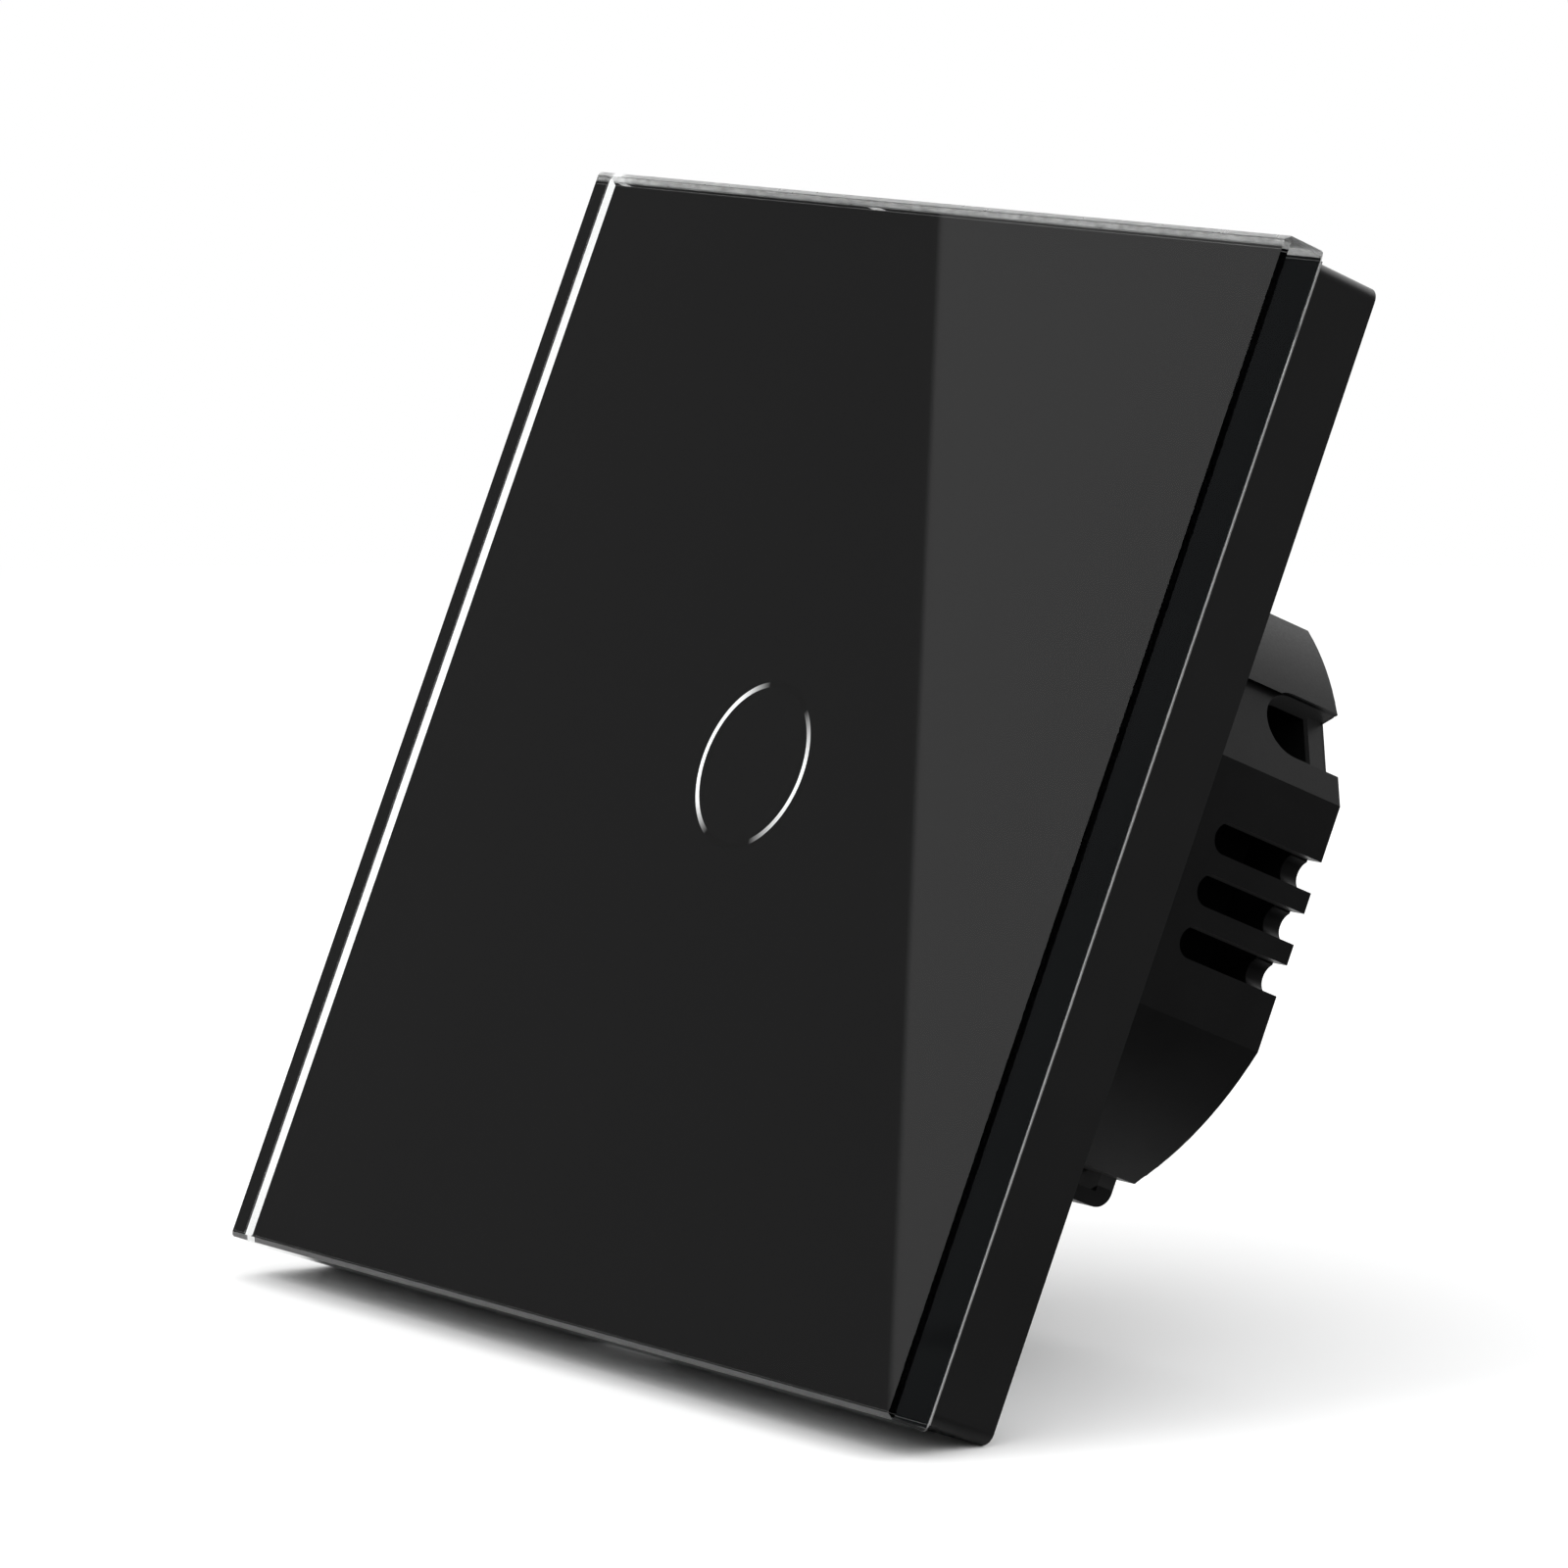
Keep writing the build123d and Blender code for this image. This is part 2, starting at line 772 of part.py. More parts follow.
def terminal_cage(x):
    low, inner_low, inner_high, high = cage_levels()
    cage = block(span(x, cage_width), span(cage_y(), cage_depth), (low, high))
    inner_width = cage_width - 2 * cage_side
    cage -= block(span(x, inner_width), span(cage_y(), cage_depth + overrun), (inner_low, inner_high))
    return cage - rod_z(clamp_screw_radius + fit_gap, (inner_high - overrun, high + overrun), x, cage_y())


def terminal_screw(x):
    seat = ceiling_level() + clamp_ceiling + fit_gap
    piece = rod_z(clamp_screw_radius, (busbar_top() + fit_gap, seat), x, cage_y())
    piece += rod_z(clamp_head_radius, (seat, seat + clamp_head_height), x, cage_y())
    slot_z = (seat + clamp_head_height - slot_depth, seat + clamp_head_height + overrun)
    slot_y = span(cage_y(), 2 * clamp_head_radius + overrun)
    return piece - block(span(x, slot_width), slot_y, slot_z)


# Power board and its leads

def lead_places():
    """Places in X and Z of the round leads that pass through the power board."""
    film_x, film_z = film_cap_at
    varistor_x, varistor_z = varistor_at
    cap_x, cap_z = can_cap_at
    fuse_x, fuse_z = fuse_at
    choke_x, choke_z = choke_at
    return {
        "film_capacitor": [(film_x, film_z + side * film_cap_length / 3) for side in (-1, 1)],
        "varistor": [(varistor_x, varistor_z + side * varistor_radius / 2) for side in (-1, 1)],
        "can_capacitor": [(cap_x + side * can_cap_radius / 3, cap_z) for side in (-1, 1)],
        "fuse": [(fuse_x + side * fuse_radius / 2, fuse_z) for side in (-1, 1)],
        "choke": [(choke_x + side * choke_radius / 2, choke_z) for side in (-1, 1)],
        "relay": [(relay_x + side_x * relay_width / 3, relay_z + side_z * relay_length / 3)
                  for side_x in (-1, 1) for side_z in (-1, 1)],
    }


def leads(name, top):
    return [rod(lead_radius, (board_front - lead_out, top), x, z) for x, z in lead_places()[name]]


def power_board():
    board = slab(housing_outline(housing_wall + board_clear), (board_front, board_rear))
    through = (board_front - overrun, board_rear + overrun)
    for x, z in post_places:
        board -= rod(small_screw_radius + slip_gap, through, x, z)
    for places in lead_places().values():
        for x, z in places:
            board -= rod(lead_radius + lead_hole_gap, through, x, z)
    bar_z = (busbar_top() - busbar_thickness - lead_hole_gap, busbar_top() + lead_hole_gap)
    for x in terminal_places():
        board -= block(span(x, busbar_width + 2 * lead_hole_gap), through, bar_z)
    return board


def board_screws():
    length = board_thickness + power_screw_length - overrun
    return [screw(x, z, board_front, small_screw_radius, length, small_head_radius, small_head_height)
            for x, z in post_places]


def with_leads(body, name):
    """A part on the board, made one piece with its leads."""
    for lead in leads(name, board_rear + part_seat + fit_gap):
        body += lead
    return body


def film_capacitor():
    x, z = film_cap_at
    y = (board_rear + part_seat, inner_rear - film_cap_end_gap)
    body = block(span(x, film_cap_width), y, span(z, film_cap_length))
    return with_leads(body, "film_capacitor")


def can_capacitor():
    x, z = can_cap_at
    y = (board_rear + part_seat, inner_rear - can_cap_end_gap)
    can = rod(can_cap_radius, y, x, z)
    can = fillet(can.faces().sort_by(Axis.Y)[-1].edges(), part_seat)
    return with_leads(can, "can_capacitor")


def varistor():
    x, z = varistor_at
    middle_y = board_rear + part_seat + varistor_radius
    disc = rod_x(varistor_radius, span(x, varistor_thickness), middle_y, z)
    for lead in leads("varistor", middle_y):
        disc += lead
    return disc


def fuse():
    x, z = fuse_at
    y = (board_rear + part_seat, board_rear + part_seat + fuse_height)
    return with_leads(rod(fuse_radius, y, x, z), "fuse")


def choke_levels():
    low = board_rear + part_seat
    high = low + choke_height
    return (low, low + choke_flange, high - choke_flange, high)


def choke_core():
    x, z = choke_at
    low, inner_low, inner_high, high = choke_levels()
    core = rod(choke_core_radius, (low, high), x, z)
    core += rod(choke_radius, (low, inner_low), x, z)
    core += rod(choke_radius, (inner_high, high), x, z)
    return with_leads(core, "choke")


def choke_winding():
    x, z = choke_at
    low, inner_low, inner_high, high = choke_levels()
    radius = choke_radius - choke_flange / 3
    return rod(radius, (inner_low, inner_high), x, z) - rod(choke_core_radius, (low, high), x, z)


def front_part(size, at):
    """A part soldered to the front of the power board; size is in X, Y and Z."""
    return block(span(at[0], size[0]), (board_front - size[1], board_front), span(at[1], size[2]))


def resistors():
    x, z = resistor_at
    y = board_front - resistor_radius
    return [rod_x(resistor_radius, span(x, resistor_length), y, z + resistor_pitch * i)
            for i in range(resistor_count)]


# Relay. Its core lies along Y, and the armature tips on the rear edge of the yoke.

def relay_x_span(inset):
    return span(relay_x, relay_width - 2 * inset)


def relay_levels():
    """Underside, top of the base and outside top of the relay, along Y."""
    low = board_rear + relay_seat
    return (low, low + relay_base_thickness, inner_rear - relay_top_gap)


def relay_base():
    low, base_top, _ = relay_levels()
    inner = relay_wall + fit_gap
    base = block(relay_x_span(inner), (low, base_top), span(relay_z, relay_length - 2 * inner))
    for lead in leads("relay", low + fit_gap):
        base += lead
    return base


def relay_cover():
    low, _, high = relay_levels()
    cover = block(relay_x_span(0), (low, high), span(relay_z, relay_length))
    cavity = block(relay_x_span(relay_wall), (low - overrun, high - relay_wall),
                   span(relay_z, relay_length - 2 * relay_wall))
    return cover - cavity


def coil_z():
    return relay_z + core_z


def core_face():
    """Level of the core's end, which the armature is drawn to."""
    return relay_levels()[2] - relay_wall - armature_room - armature_thickness - pivot_gap


def bobbin_levels():
    low = relay_levels()[1] + yoke_thickness
    high = core_face() - core_head
    return (low, low + bobbin_flange, high - bobbin_flange, high)


def relay_bobbin():
    low, inner_low, inner_high, high = bobbin_levels()
    bobbin = rod(core_radius + bobbin_flange, (low, high), relay_x, coil_z())
    bobbin += rod(bobbin_radius, (low, inner_low), relay_x, coil_z())
    bobbin += rod(bobbin_radius, (inner_high, high), relay_x, coil_z())
    return bobbin - rod(core_radius + fit_gap, (low - overrun, high + overrun), relay_x, coil_z())


def relay_winding():
    low, inner_low, inner_high, high = bobbin_levels()
    hole = rod(core_radius + bobbin_flange, (low, high), relay_x, coil_z())
    return rod(winding_radius, (inner_low, inner_high), relay_x, coil_z()) - hole


def relay_core():
    low = bobbin_levels()[0]
    head = rod(core_radius + bobbin_flange, (bobbin_levels()[3], core_face()), relay_x, coil_z())
    return rod(core_radius, (low, core_face()), relay_x, coil_z()) + head


def yoke_back():
    """The two faces, in Z, of the yoke's upright leg."""
    low = coil_z() + bobbin_radius + slip_gap
    return (low, low + yoke_thickness)


def relay_yoke():
    base_top = relay_levels()[1]
    z_low = coil_z() - bobbin_radius
    foot = block(span(relay_x, yoke_width), (base_top, base_top + yoke_thickness), (z_low, yoke_back()[1]))
    leg = block(span(relay_x, yoke_width), (base_top, core_face()), yoke_back())
    return foot + leg


def at_rest(piece):
    """Tip a piece drawn with the armature shut back to where it rests, off the core."""
    pivot = Axis((0, core_face(), sum(yoke_back()) / 2), (1, 0, 0))
    return piece.rotate(pivot, armature_angle)


def armature_levels():
    low = core_face() + pivot_gap
    return (low, low + armature_thickness)


def relay_armature():
    z = (coil_z() - bobbin_radius + armature_lip, yoke_back()[1] + blade_setback)
    return at_rest(block(span(relay_x, yoke_width), armature_levels(), z))


def blade_face():
    """The two faces, in Z, of the contact blade."""
    low = yoke_back()[1] + blade_setback
    return (low, low + blade_thickness)


def blade_foot():
    return relay_levels()[1] + blade_foot_gap


def relay_blade():
    y = (blade_foot(), armature_levels()[1])
    return at_rest(block(span(relay_x, blade_width), y, blade_face()))


def contact_y():
    return blade_foot() + contact_radius


def moving_contact():
    high = blade_face()[1]
    return at_rest(rod_z(contact_radius, (high, high + contact_height), relay_x, contact_y()))


def fixed_contact():
    """The fixed rivet and the post that carries it up from the base."""
    face = blade_face()[1] + contact_height + contact_gap
    rivet = rod_z(contact_radius, (face, face + contact_height), relay_x, contact_y())
    post_z = (face + contact_height, face + contact_height + contact_post)
    post_y = (relay_levels()[1], contact_y() + contact_radius)
    return rivet + block(span(relay_x, blade_width), post_y, post_z)


def main():
    os.makedirs("parts", exist_ok=True)
    save("glass_panel", glass_panel())
    save("ink_film", ink_film())
    save("ring_mark", ring_mark())
    save("bond_tape", bond_tape())
    save("panel_frame", panel_frame())
    save("mount_plate", mount_plate())
    save("front_cover", front_cover())
    save("cover_screws", *cover_screws())
    save("light_ring", light_ring())
    save("touch_board", touch_board())
    save("touch_screws", *touch_screws())
    save("status_lamps", *status_lamps())
    save("touch_chip", touch_chip())
    save("small_chips", *small_chips())
    save("touch_spring", touch_spring())
    save("touch_pad", touch_pad())
    save("header_base", header_base())
    save("header_pins", *header_pins())
    save("board_socket", board_socket())
    save("rear_housing", rear_housing())
    save("power_board", power_board())
    save("board_screws", *board_screws())
    save("terminal_body", terminal_body())
    save("busbars", *busbars())
    for number, x in enumerate(terminal_places(), 1):
        save(f"terminal_screw_{number}", terminal_screw(x))
        save(f"terminal_cage_{number}", terminal_cage(x))
    save("film_capacitor", film_capacitor())
    save("can_capacitor", can_capacitor())
    save("varistor", varistor())
    save("fuse", fuse())
    save("choke_core", choke_core())
    save("choke_winding", choke_winding())
    save("rectifier", front_part(rectifier_size, rectifier_at))
    save("control_chip", front_part(control_chip_size, control_chip_at))
    save("resistors", *resistors())
    save("relay_base", relay_base())
    save("relay_cover", relay_cover())
    save("relay_bobbin", relay_bobbin())
    save("relay_winding", relay_winding())
    save("relay_core", relay_core())
    save("relay_yoke", relay_yoke())
    save("relay_armature", relay_armature())
    save("relay_blade", relay_blade())
    save("moving_contact", moving_contact())
    save("fixed_contact", fixed_contact())
    print_spring_gap()
    print("relay pivot: y", round(core_face(), 3), "z", round(sum(yoke_back()) / 2, 3))
    print("cage y", round(cage_y(), 3), "wire level", round(wire_level(), 3))


main()
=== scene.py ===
import json
import math

import bpy
from mathutils import Matrix, Vector


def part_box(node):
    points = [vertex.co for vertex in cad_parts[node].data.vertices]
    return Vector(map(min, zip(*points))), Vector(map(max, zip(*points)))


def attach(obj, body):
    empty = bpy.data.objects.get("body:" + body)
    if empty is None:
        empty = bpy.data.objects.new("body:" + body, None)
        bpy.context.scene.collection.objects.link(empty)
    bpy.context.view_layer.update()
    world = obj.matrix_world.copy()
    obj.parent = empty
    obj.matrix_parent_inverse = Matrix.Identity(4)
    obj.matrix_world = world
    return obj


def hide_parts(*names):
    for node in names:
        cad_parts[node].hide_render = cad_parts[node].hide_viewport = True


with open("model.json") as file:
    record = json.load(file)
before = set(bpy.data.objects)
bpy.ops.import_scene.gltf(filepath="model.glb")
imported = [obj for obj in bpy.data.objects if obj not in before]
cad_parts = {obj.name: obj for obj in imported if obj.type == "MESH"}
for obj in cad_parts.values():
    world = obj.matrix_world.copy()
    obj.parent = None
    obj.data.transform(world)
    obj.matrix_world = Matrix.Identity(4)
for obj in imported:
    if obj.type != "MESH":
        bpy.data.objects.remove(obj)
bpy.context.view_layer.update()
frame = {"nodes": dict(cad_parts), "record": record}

MM = 0.001

# The camera was fitted to the edges in the photograph, which is square. Pixels count from its top left.
PHOTO_SIDE = 1600
SENSOR = 36.0
LENS = 210.9
CLIP_START = 0.01
CLIP_END = 50.0
CAMERA_PLACE = Vector((0.504236, -0.357909, -0.064349))
CAMERA_TARGET = Vector((0.00646, -0.0087, -0.00117))

# The switch leans back on the floor, so the room's directions are turned against the switch's own.
ROOM_UP = Vector((0.0, -0.3915161, 0.92017126))
ROOM_FRONT = Vector((0.0, -0.92017126, -0.3915161))
FLOOR_LEVEL = -36.3 * MM
FLOOR_REACH = 4.0

# A noise texture hardly leaves this range.
NOISE_LOW = 0.3
NOISE_HIGH = 0.7

# The glass is ground on the outer part of its rear bevels and along its top, and clear elsewhere.
REAR_BEVEL = 0.55 * MM
GROUND_EDGE = 0.28 * MM
GROUND_START = 0.005 * MM
TOP_GROUND = 0.38 * MM
TOP_SHARE = 0.6
GROUND_ROUGH = (0.45, 0.7)
GROUND_GRAIN = 1800.0
GLASS_CLOUD = 40.0
GLASS_DARK = (0.97, 0.985, 0.98)
GLASS_LIGHT = (0.98, 0.99, 0.985)
# Painted reflection tint: faces turned to the right get a bluish tint in their reflection, the others none.
RIGHT_FACING = 0.9
RIGHT_SIDE_PAINTED_TINT = (0.87, 0.96, 1.0)

# The print and the ring reach a little further forward than the solids that they replace.
PRINT_STEP = 0.03 * MM
RING_STEP = 0.02 * MM
RING_WIDTH = 0.37 * MM
RING_SIDES = 180
# Painted reflection on the ring: its silver colour fades to black at two angles, and it glows with a painted
# glow.
RING_PAINTED_DARK_ANGLE = math.radians(81.5)
RING_PAINTED_TILT = math.radians(-8.5)
RING_PAINTED_TILT_SHARE = 0.45
RING_PAINTED_FADE = (0.64, -0.48)
RING_SILVER_AND_HIGHLIGHT = 0.95
RING_PAINTED_GLOW = 0.8
RING_GRAIN = 3000.0
RING_ROUGH = (0.35, 0.5)

# The housing's outline seen from the front, for the painted light on the walls of its cuts, an emission that
# stands in for light from the floor.
HOUSING_RADIUS = 24.1 * MM
HOUSING_RAISE = 1.5 * MM
HOUSING_WALL = 1.58 * MM
SHOULDER_LOW = 10.15 * MM
SHOULDER_HIGH = 16.1 * MM
SHOULDER_INSET = 3.7 * MM
SHOULDER_MARGIN = 0.2 * MM
SKIN_MARGIN = 0.04 * MM
REAR_MARGIN = 0.25 * MM
PAINTED_LIGHT_MARGIN = 0.1 * MM
# Strength of the painted light on the cut walls, at the inner and at the outer end of the wall.
CUT_PAINTED_LIGHT = (0.006, 0.009)

# The floor: each pair is where a change starts and ends, in metres from the floor's middle or along
# one of its axes. A set of four has the two values as well.
PAPER = 0.92
PLAIN_WHITE = (0.12, 0.5)
# Painted shade: the sets below darken the floor to the right of the switch only for rays that bounce off it,
# which darkens its reflections and the light bounced onto it.
PAINTED_SHADE_DISTANCE = (0.022, 0.035)
PAINTED_SHADE_RIGHT = (0.0, 0.04)
PAINTED_SHADE_BESIDE = (0.036, 0.042)
PAINTED_SHADE_BEHIND = (-0.012, -0.004)
PAINTED_DIM_FAR = (0.062, 0.078, 0.02, 0.2)
PAINTED_DIM_BESIDE = (0.040, 0.044)
PAINTED_DIM_BEFORE = (0.0, 0.012, 0.2, 0.0)

# The light field that mirrored rays see. Each set has two cosines of the angle to a direction, and the
# strengths there where they aren't 0 and 1. The straight edge goes through two pixels of the photograph.
EDGE_PIXELS = ((960, 218), (908, 1437))
LIGHT_SIDE_PIXEL = (1250, 700)
MIDDLE_PIXEL = (800, 800)
EDGE_STEP = (-0.0004, 0.0004, 0.08, 0.57)
FACE_FIELD = (0.90, 0.96)
OVERHEAD = (0.45, 0.9, 0.20, 1.2)
BACK_PANEL = Vector((-0.25, 0.60, 0.75)).normalized()
BACK_PANEL_LIGHT = (0.75, 0.9, 0.0, 1.6)
LEFT_PANEL = Vector((-0.83, 0.05, 0.56)).normalized()
LEFT_PANEL_LIGHT = (0.88, 0.94, 0.0, 3.0)
CAMERA_SHADE = (0.75, 0.6)

# The soft sky that lights dull surfaces, in the same form: dark low down in front, and brighter above.
SKY_FRONT = (-0.2, 0.4, 0.0, 0.95)
SKY_LOW = (0.3, 0.75, 1.0, 0.0)
SKY_LIFT = (0.0, 0.5, 0.8, 1.95)

KEY_PLACE = Vector((-0.15, -0.75, 0.85))
KEY_SIDE = 0.5
KEY_POWER = 3.5


def grey(level):
    return (level, level, level)


# Each finish has cloudy patches between two colours, and a roughness between two values.
STEEL = dict(rough=(0.38, 0.5), metal=1.0, grain=2500.0, depth=0.0000008)
LOOKS = {
    "black_print": dict(dark=(0.0016, 0.0016, 0.0018), light=(0.0024, 0.0024, 0.0026), rough=(0.55, 0.7),
                        cloud=60.0, grain=3000.0, depth=0.0, specular=0.0),
    "film_edge": dict(dark=grey(0.22), light=grey(0.34), rough=(0.5, 0.65), cloud=900.0),
    "tape": dict(dark=grey(0.02), light=grey(0.03), rough=(0.8, 0.95)),
    "frame_plastic": dict(dark=(0.0042, 0.0042, 0.0044), light=(0.0052, 0.0052, 0.0055),
                          rough=(0.3, 0.38), depth=0.000002),
    "housing_plastic": dict(dark=(0.0106, 0.0106, 0.0108), light=(0.0124, 0.0124, 0.0126),
                            rough=(0.34, 0.44), grain=6000.0, depth=0.000004, specular=0.09),
    "plate_steel": dict(dark=(0.50, 0.51, 0.52), light=(0.62, 0.63, 0.64), **STEEL),
    "screw_steel": dict(dark=(0.52, 0.52, 0.53), light=(0.66, 0.66, 0.67), **STEEL),
    "clamp_metal": dict(dark=(0.48, 0.48, 0.49), light=(0.60, 0.60, 0.61), **STEEL),
    "light_plastic": dict(dark=(0.80, 0.80, 0.79), light=(0.86, 0.86, 0.85), rough=(0.35, 0.45)),
    "circuit_board": dict(dark=(0.012, 0.09, 0.04), light=(0.02, 0.13, 0.06), rough=(0.25, 0.35),
                          coat=0.3),
    "lamp_resin": dict(dark=(0.80, 0.80, 0.70), light=(0.88, 0.88, 0.78), rough=(0.15, 0.25)),
    "chip_resin": dict(dark=grey(0.02), light=grey(0.03), rough=(0.45, 0.6)),
    "contact_metal": dict(dark=(0.70, 0.69, 0.66), light=(0.80, 0.79, 0.76), rough=(0.2, 0.32),
                          metal=1.0),
    "brass": dict(dark=(0.66, 0.48, 0.20), light=(0.76, 0.58, 0.28), rough=(0.22, 0.38), metal=1.0),
    "terminal_plastic": dict(dark=(0.03, 0.03, 0.032), light=(0.042, 0.042, 0.044), rough=(0.4, 0.55)),
    # Darker and less shiny than the other black plastics so that the parts seen through the housing's vents
    # look black: partly their own black coating, partly painted shade.
    "part_coating": dict(dark=(0.0008, 0.0008, 0.001), light=(0.0014, 0.0014, 0.0016),
                         rough=(0.4, 0.55), specular=0.02),
    "aluminium_can": dict(dark=(0.62, 0.62, 0.64), light=(0.72, 0.72, 0.74), rough=(0.3, 0.4),
                          metal=1.0),
    "ferrite": dict(dark=(0.04, 0.04, 0.044), light=(0.06, 0.06, 0.065), rough=(0.5, 0.7)),
    "copper_wire": dict(dark=(0.58, 0.24, 0.10), light=(0.72, 0.34, 0.16), rough=(0.25, 0.4),
                        metal=1.0),
    "relay_plastic": dict(dark=(0.03, 0.03, 0.033), light=(0.04, 0.04, 0.044), rough=(0.3, 0.45)),
}


def upright_matrix(place, back, up):
    side = up.cross(back).normalized()
    turn = Matrix((side, back.cross(side), back)).transposed()
    return Matrix.Translation(place) @ turn.to_4x4()


def room_turn():
    right = Vector((1.0, 0.0, 0.0))
    return Matrix((right, ROOM_UP.cross(right), ROOM_UP)).transposed().to_4x4()


def add_object(name, data):
    made = bpy.data.objects.new(name, data)
    bpy.context.scene.collection.objects.link(made)
    return made


def add_camera():
    data = bpy.data.cameras.new("photo_camera")
    data.sensor_width = SENSOR
    data.lens = LENS
    data.clip_start = CLIP_START
    data.clip_end = CLIP_END
    camera = add_object("photo_camera", data)
    back = (CAMERA_PLACE - CAMERA_TARGET).normalized()
    camera.matrix_world = upright_matrix(CAMERA_PLACE, back, ROOM_UP)
    bpy.context.scene.camera = camera
    return camera


def mirrored_ray(camera, pixel):
    """The direction in which a ray through this pixel leaves the glass front."""
    half = PHOTO_SIDE / 2
    scale = SENSOR / PHOTO_SIDE
    local = Vector(((pixel[0] - half) * scale, (half - pixel[1]) * scale, -LENS))
    ray = (camera.matrix_world.to_3x3() @ local).normalized()
    return Vector((ray.x, -ray.y, ray.z))


def node(tree, kind, **settings):
    made = tree.nodes.new(kind)
    for key, value in settings.items():
        setattr(made, key, value)
    return made


def new_material(name):
    material = bpy.data.materials.new(name)
    material.use_nodes = True
    tree = material.node_tree
    tree.nodes.clear()
    return material, tree, node(tree, "ShaderNodeOutputMaterial")


def math_node(tree, operation, first, second=0.0):
    made = node(tree, "ShaderNodeMath", operation=operation)
    for socket, value in zip(made.inputs, (first, second)):
        if isinstance(value, (int, float)):
            socket.default_value = value
        else:
            tree.links.new(value, socket)
    return made.outputs[0]


def product(tree, first, *others):
    for other in others:
        first = math_node(tree, "MULTIPLY", first, other)
    return first


def ranged(tree, value, start, end, low=0.0, high=1.0):
    """Is low up to start and high from end on, and changes evenly between them."""
    made = node(tree, "ShaderNodeMapRange")
    limits = {"From Min": start, "From Max": end, "To Min": low, "To Max": high}
    for key, limit in limits.items():
        made.inputs[key].default_value = limit
    tree.links.new(value, made.inputs["Value"])
    return made.outputs["Result"]


def noise(tree, scale, detail=3.0):
    place = node(tree, "ShaderNodeTexCoord")
    texture = node(tree, "ShaderNodeTexNoise")
    texture.inputs["Scale"].default_value = scale
    texture.inputs["Detail"].default_value = detail
    tree.links.new(place.outputs["Object"], texture.inputs["Vector"])
    return texture.outputs["Fac"]


def spread(tree, factor, low=0.0, high=1.0):
    return ranged(tree, factor, NOISE_LOW, NOISE_HIGH, low, high)


def mixed_colour(tree, factor, first, second):
    mix = node(tree, "ShaderNodeMix", data_type="RGBA")
    mix.inputs["A"].default_value = (*first, 1.0)
    mix.inputs["B"].default_value = (*second, 1.0)
    tree.links.new(factor, mix.inputs["Factor"])
    return mix.outputs["Result"]


def mixed_shader(tree, factor, first, second):
    mix = node(tree, "ShaderNodeMixShader")
    tree.links.new(factor, mix.inputs["Fac"])
    tree.links.new(first, mix.inputs[1])
    tree.links.new(second, mix.inputs[2])
    return mix.outputs["Shader"]


def bump(tree, height, distance):
    made = node(tree, "ShaderNodeBump")
    made.inputs["Distance"].default_value = distance
    tree.links.new(height, made.inputs["Height"])
    return made.outputs["Normal"]


def object_axes(tree):
    place = node(tree, "ShaderNodeTexCoord")
    parts = node(tree, "ShaderNodeSeparateXYZ")
    tree.links.new(place.outputs["Object"], parts.inputs["Vector"])
    return [parts.outputs[axis] for axis in "XYZ"]


def finish(name, dark, light, rough, metal=0.0, cloud=300.0, grain=4000.0, depth=0.00001, coat=0.0,
           specular=0.5):
    material, tree, output = new_material(name)
    shader = node(tree, "ShaderNodeBsdfPrincipled")
    shader.inputs["Metallic"].default_value = metal
    shader.inputs["Coat Weight"].default_value = coat
    shader.inputs["Specular IOR Level"].default_value = specular
    patches = spread(tree, noise(tree, cloud))
    fine = noise(tree, grain, detail=2.0)
    tree.links.new(mixed_colour(tree, patches, dark, light), shader.inputs["Base Color"])
    tree.links.new(spread(tree, fine, *rough), shader.inputs["Roughness"])
    if depth:
        tree.links.new(bump(tree, fine, depth), shader.inputs["Normal"])
    tree.links.new(shader.outputs["BSDF"], output.inputs["Surface"])
    return material


def painted_cut_light(tree, half_width, rear):
    """Painted light: is faintly above 0 on the walls of the housing's cuts, most near the outer skin, and 0
    elsewhere.
    """
    x, y, z = object_axes(tree)
    out = math_node(tree, "ABSOLUTE", x)
    level = math_node(tree, "SUBTRACT", z, HOUSING_RAISE)
    squares = math_node(tree, "ADD", product(tree, x, x), product(tree, level, level))
    past_round = math_node(tree, "SUBTRACT", math_node(tree, "SQRT", squares), HOUSING_RADIUS)
    past_side = math_node(tree, "SUBTRACT", out, half_width)
    slope = Vector((SHOULDER_HIGH - SHOULDER_LOW, SHOULDER_INSET)).normalized()
    reach = slope.dot(Vector((half_width, SHOULDER_LOW)))
    along = math_node(tree, "ADD", product(tree, out, slope.x), product(tree, z, slope.y))
    above = math_node(tree, "GREATER_THAN", z, SHOULDER_HIGH + SHOULDER_MARGIN)
    past_slope = math_node(tree, "SUBTRACT", math_node(tree, "SUBTRACT", along, reach), above)
    past = math_node(tree, "MAXIMUM", past_slope, math_node(tree, "MAXIMUM", past_side, past_round))
    under_skin = math_node(tree, "LESS_THAN", past, -SKIN_MARGIN)
    in_wall = math_node(tree, "GREATER_THAN", past, -HOUSING_WALL)
    before_rear = math_node(tree, "LESS_THAN", y, rear - REAR_MARGIN)
    glow = ranged(tree, past, -HOUSING_WALL, -PAINTED_LIGHT_MARGIN, *CUT_PAINTED_LIGHT)
    return product(tree, under_skin, in_wall, before_rear, glow)


def paint_light_on_cuts(material):
    """Gives the walls of the housing's cuts their painted light, an emission that stands in for light from
    the floor.
    """
    tree = material.node_tree
    shader = next(made for made in tree.nodes if made.type == "BSDF_PRINCIPLED")
    shader.inputs["Emission Color"].default_value = (*grey(1.0), 1.0)
    _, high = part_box("rear_housing")
    tree.links.new(painted_cut_light(tree, high.x, high.y), shader.inputs["Emission Strength"])


